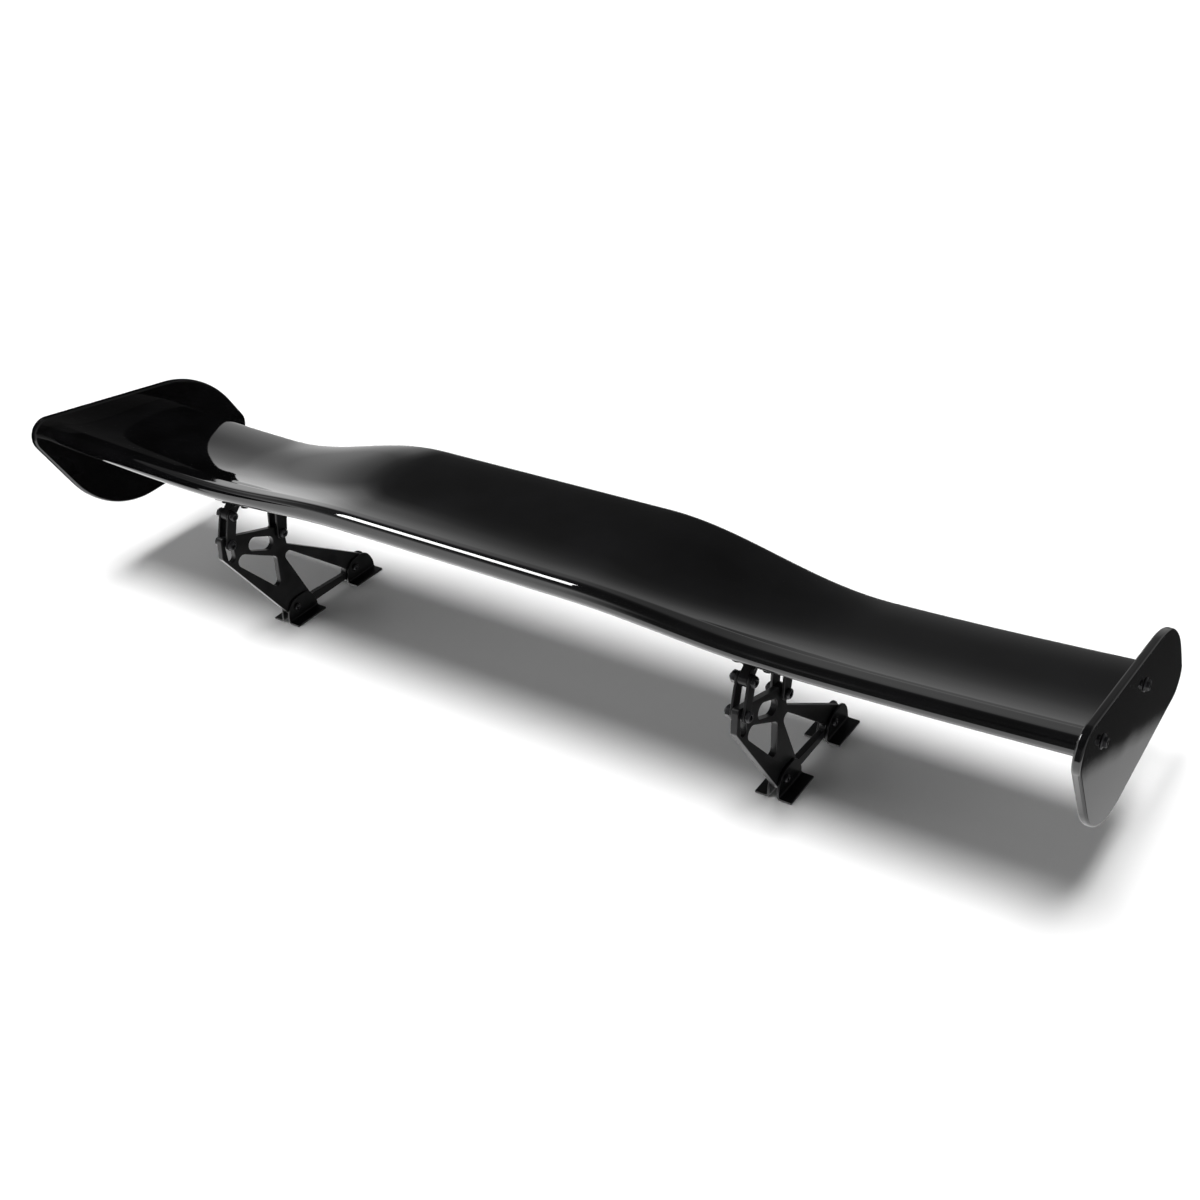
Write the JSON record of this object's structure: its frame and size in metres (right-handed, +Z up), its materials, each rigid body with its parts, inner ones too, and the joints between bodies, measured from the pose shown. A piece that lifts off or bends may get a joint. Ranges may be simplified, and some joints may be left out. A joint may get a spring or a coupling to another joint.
{
  "type": "racing rear wing",
  "caption": "Hollow gloss black wing blade with a waved front edge, rounded end plates and two bolted truss stands with tilt adjustment.",
  "frame": {"origin": "under the middle of the wing, at the height of the feet's undersides", "axes": "+X along the span to the right seen from behind, +Y to the front of the car, +Z up"},
  "size_m": [1.4738, 0.3637, 0.2662],
  "materials": {
    "gloss_black_plastic": "polished black moulded plastic",
    "satin_black_metal": "satin black powder coat on steel sheet and plate",
    "black_fasteners": "black oxide bolts, screws and nuts",
    "zinc_steel": "zinc plated strip inside the blade",
    "moulded_plastic": "unpolished black moulded plastic inside the blade"
  },
  "bodies": {
    "stands": {"front_foot_bolt_left": "black_fasteners", "front_foot_bolt_right": "black_fasteners", "front_foot_left_a": "satin_black_metal", "front_foot_left_b": "satin_black_metal", "front_foot_nut_left": "black_fasteners", "front_foot_nut_right": "black_fasteners", "front_foot_right_a": "satin_black_metal", "front_foot_right_b": "satin_black_metal", "pivot_bolt_left": "black_fasteners", "pivot_bolt_right": "black_fasteners", "pivot_nut_left": "black_fasteners", "pivot_nut_right": "black_fasteners", "rear_foot_bolt_left": "black_fasteners", "rear_foot_bolt_right": "black_fasteners", "rear_foot_left_a": "satin_black_metal", "rear_foot_left_b": "satin_black_metal", "rear_foot_nut_left": "black_fasteners", "rear_foot_nut_right": "black_fasteners", "rear_foot_right_a": "satin_black_metal", "rear_foot_right_b": "satin_black_metal", "truss_plate_left": "satin_black_metal", "truss_plate_right": "satin_black_metal"},
    "wing": {"end_plate_left": "gloss_black_plastic", "end_plate_right": "gloss_black_plastic", "end_plate_screw_left_front": "black_fasteners", "end_plate_screw_left_rear": "black_fasteners", "end_plate_screw_right_front": "black_fasteners", "end_plate_screw_right_rear": "black_fasteners", "end_rib_left": "moulded_plastic", "end_rib_right": "moulded_plastic", "front_backing_plate_left": "zinc_steel", "front_backing_plate_right": "zinc_steel", "front_bracket_left": "satin_black_metal", "front_bracket_right": "satin_black_metal", "front_bracket_screw_left_inner": "black_fasteners", "front_bracket_screw_left_outer": "black_fasteners", "front_bracket_screw_right_inner": "black_fasteners", "front_bracket_screw_right_outer": "black_fasteners", "lower_skin": "gloss_black_plastic", "rear_backing_plate_left": "zinc_steel", "rear_backing_plate_right": "zinc_steel", "rear_bracket_left": "satin_black_metal", "rear_bracket_right": "satin_black_metal", "rear_bracket_screw_left_inner": "black_fasteners", "rear_bracket_screw_left_outer": "black_fasteners", "rear_bracket_screw_right_inner": "black_fasteners", "rear_bracket_screw_right_outer": "black_fasteners", "upper_skin": "gloss_black_plastic"},
    "slider_left": {"slot_bolt_left": "black_fasteners", "slot_nut_left": "black_fasteners"},
    "link_left": {"link_bolt_left": "black_fasteners", "link_nut_left": "black_fasteners", "link_strap_left_a": "satin_black_metal", "link_strap_left_b": "satin_black_metal"},
    "slider_right": {"slot_bolt_right": "black_fasteners", "slot_nut_right": "black_fasteners"},
    "link_right": {"link_bolt_right": "black_fasteners", "link_nut_right": "black_fasteners", "link_strap_right_a": "satin_black_metal", "link_strap_right_b": "satin_black_metal"}
  },
  "joints": [
    {"name": "wing_tilt", "type": "hinge", "parent": "stands", "child": "wing", "pos_m": [0, -0.081, 0.137], "axis": [1, 0, 0], "range_deg": [0, 12]},
    {"name": "slot_slide_left", "type": "slide", "parent": "stands", "child": "slider_left", "axis": [0, 0, 1], "range_m": [-0.019, 0]},
    {"name": "link_swing_left", "type": "hinge", "parent": "slider_left", "child": "link_left", "pos_m": [-0.38, -0.1676, 0.1625], "axis": [1, 0, 0], "range_deg": [0, 17.7]},
    {"name": "slot_slide_right", "type": "slide", "parent": "stands", "child": "slider_right", "axis": [0, 0, 1], "range_m": [-0.019, 0]},
    {"name": "link_swing_right", "type": "hinge", "parent": "slider_right", "child": "link_right", "pos_m": [0.38, -0.1676, 0.1625], "axis": [1, 0, 0], "range_deg": [0, 17.7]}
  ],
  "couplings": [
    {"joint": "slot_slide_left", "follows": "wing_tilt", "m_per_rad": -0.0905},
    {"joint": "link_swing_left", "follows": "wing_tilt", "ratio": 1.473},
    {"joint": "slot_slide_right", "follows": "wing_tilt", "m_per_rad": -0.0905},
    {"joint": "link_swing_right", "follows": "wing_tilt", "ratio": 1.473}
  ]
}
